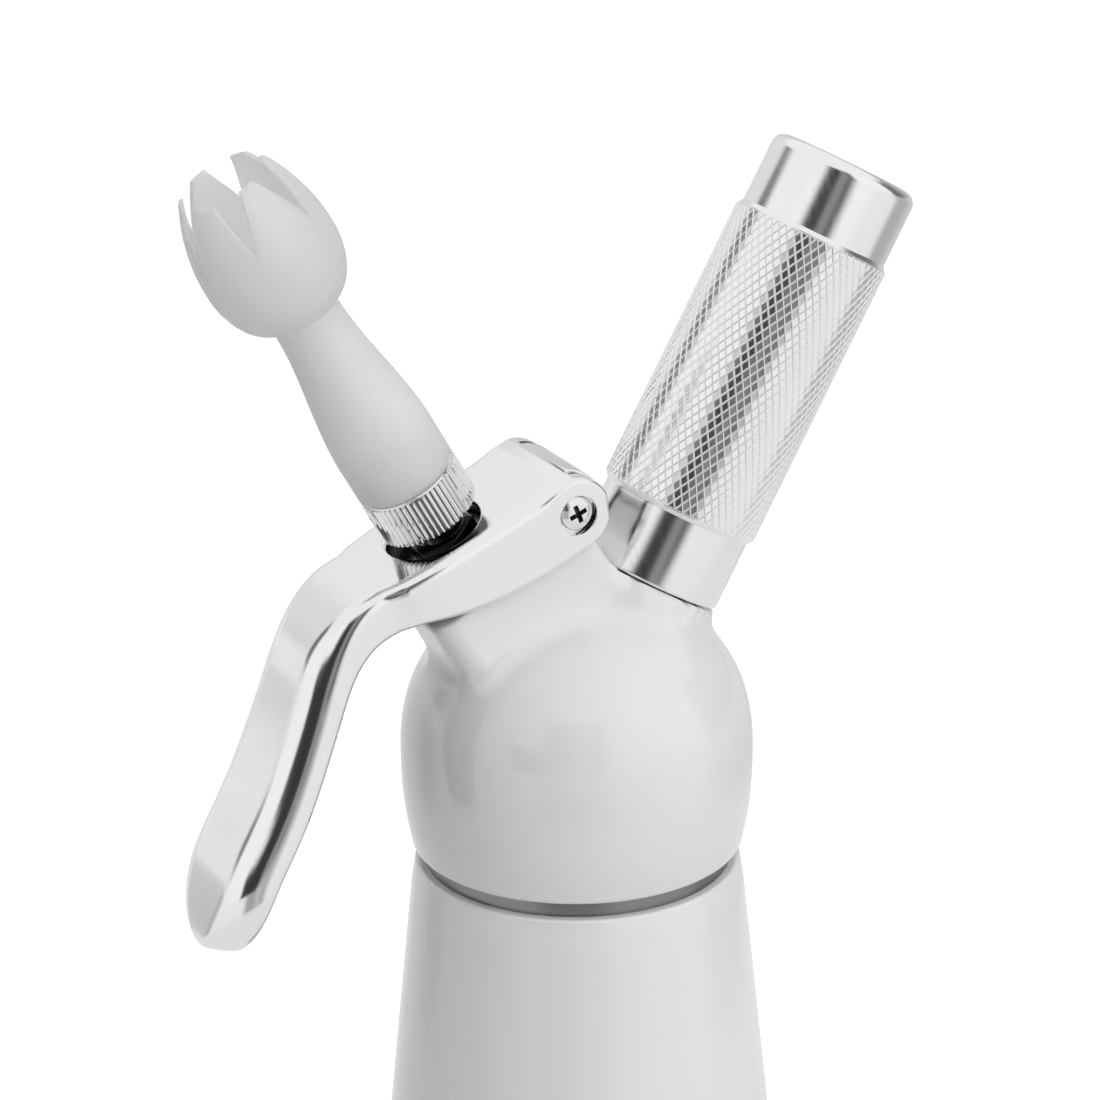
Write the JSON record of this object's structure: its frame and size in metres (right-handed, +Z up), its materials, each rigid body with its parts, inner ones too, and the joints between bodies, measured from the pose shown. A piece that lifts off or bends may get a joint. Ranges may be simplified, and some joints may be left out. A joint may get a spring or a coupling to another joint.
{
  "type": "whipped cream dispenser",
  "caption": "Flask with a screw-on domed head, a squeeze lever that opens a leaning cream valve with a tulip nozzle, and a knurled gas charger holder.",
  "frame": {"origin": "centre of the flask's flat base", "axes": "+Z up along the flask; the handle and nozzle point to -X, the charger holder leans to +X, the lever's pivot lies along Y"},
  "size_m": [0.1339, 0.0754, 0.2968],
  "materials": {
    "bottle": "gloss",
    "head": "gloss",
    "head_gasket": "matte",
    "lever": "polished",
    "lever_pivot_screw": "polished",
    "lever_pivot_sleeve": "satin",
    "valve_stem": "polished",
    "valve_seal": "matte",
    "valve_seal_screw": "satin",
    "stem_o_ring": "matte",
    "valve_guide": "satin",
    "valve_spring": "satin",
    "nozzle_ferrule": "polished",
    "nozzle": "matte",
    "charger_port": "satin",
    "piercing_pin": "satin",
    "charger_seal": "matte",
    "gas_charger": "satin",
    "charger_holder": "polished",
    "holder_liner": "matte",
    "inlet_valve_disc": "matte",
    "inlet_valve_screw": "satin"
  },
  "bodies": {
    "flask_body": {"bottle": "bottle"},
    "gasket_body": {"head_gasket": "head_gasket"},
    "head_body": {"head": "head", "valve_guide": "valve_guide", "stem_o_ring": "stem_o_ring", "valve_spring": "valve_spring", "charger_port": "charger_port", "piercing_pin": "piercing_pin", "charger_seal": "charger_seal", "inlet_valve_disc": "inlet_valve_disc", "inlet_valve_screw": "inlet_valve_screw"},
    "lever_body": {"lever": "lever", "lever_pivot_sleeve": "lever_pivot_sleeve", "lever_pivot_screw": "lever_pivot_screw"},
    "stem_body": {"valve_stem": "valve_stem", "valve_seal": "valve_seal", "valve_seal_screw": "valve_seal_screw"},
    "nozzle_body": {"nozzle_ferrule": "nozzle_ferrule", "nozzle": "nozzle"},
    "charger_body": {"gas_charger": "gas_charger"},
    "holder_body": {"charger_holder": "charger_holder", "holder_liner": "holder_liner"}
  },
  "joints": [
    {"name": "head_lift", "type": "slide", "parent": "flask_body", "child": "gasket_body", "axis": [0, 0, 1], "range_m": [0, 0.05]},
    {"name": "head_turn", "type": "hinge", "parent": "gasket_body", "child": "head_body", "pos_m": [0, 0, 0.18], "axis": [0, 0, 1], "continuous": true},
    {"name": "lever_squeeze", "type": "hinge", "parent": "head_body", "child": "lever_body", "pos_m": [-0.00564, 0, 0.23216], "axis": [0, -1, 0], "range_deg": [0, 10]},
    {"name": "valve_travel", "type": "slide", "parent": "head_body", "child": "stem_body", "axis": [0.4924, 0, -0.8704], "range_m": [0, 0.00325], "stiffness_N_per_m": 200, "springref_m": -0.002, "deforming": ["valve_spring"]},
    {"name": "nozzle_lift", "type": "slide", "parent": "stem_body", "child": "nozzle_body", "axis": [-0.4924, 0, 0.8704], "range_m": [0, 0.02]},
    {"name": "charger_lift", "type": "slide", "parent": "head_body", "child": "charger_body", "axis": [0.5, 0, 0.866], "range_m": [0, 0.09]},
    {"name": "holder_turn", "type": "hinge", "parent": "charger_body", "child": "holder_body", "pos_m": [0.0282, 0, 0.23976], "axis": [0.5, 0, 0.866], "continuous": true}
  ],
  "couplings": [
    {"joint": "valve_travel", "follows": "lever_squeeze", "m_per_rad": 0.0186}
  ]
}
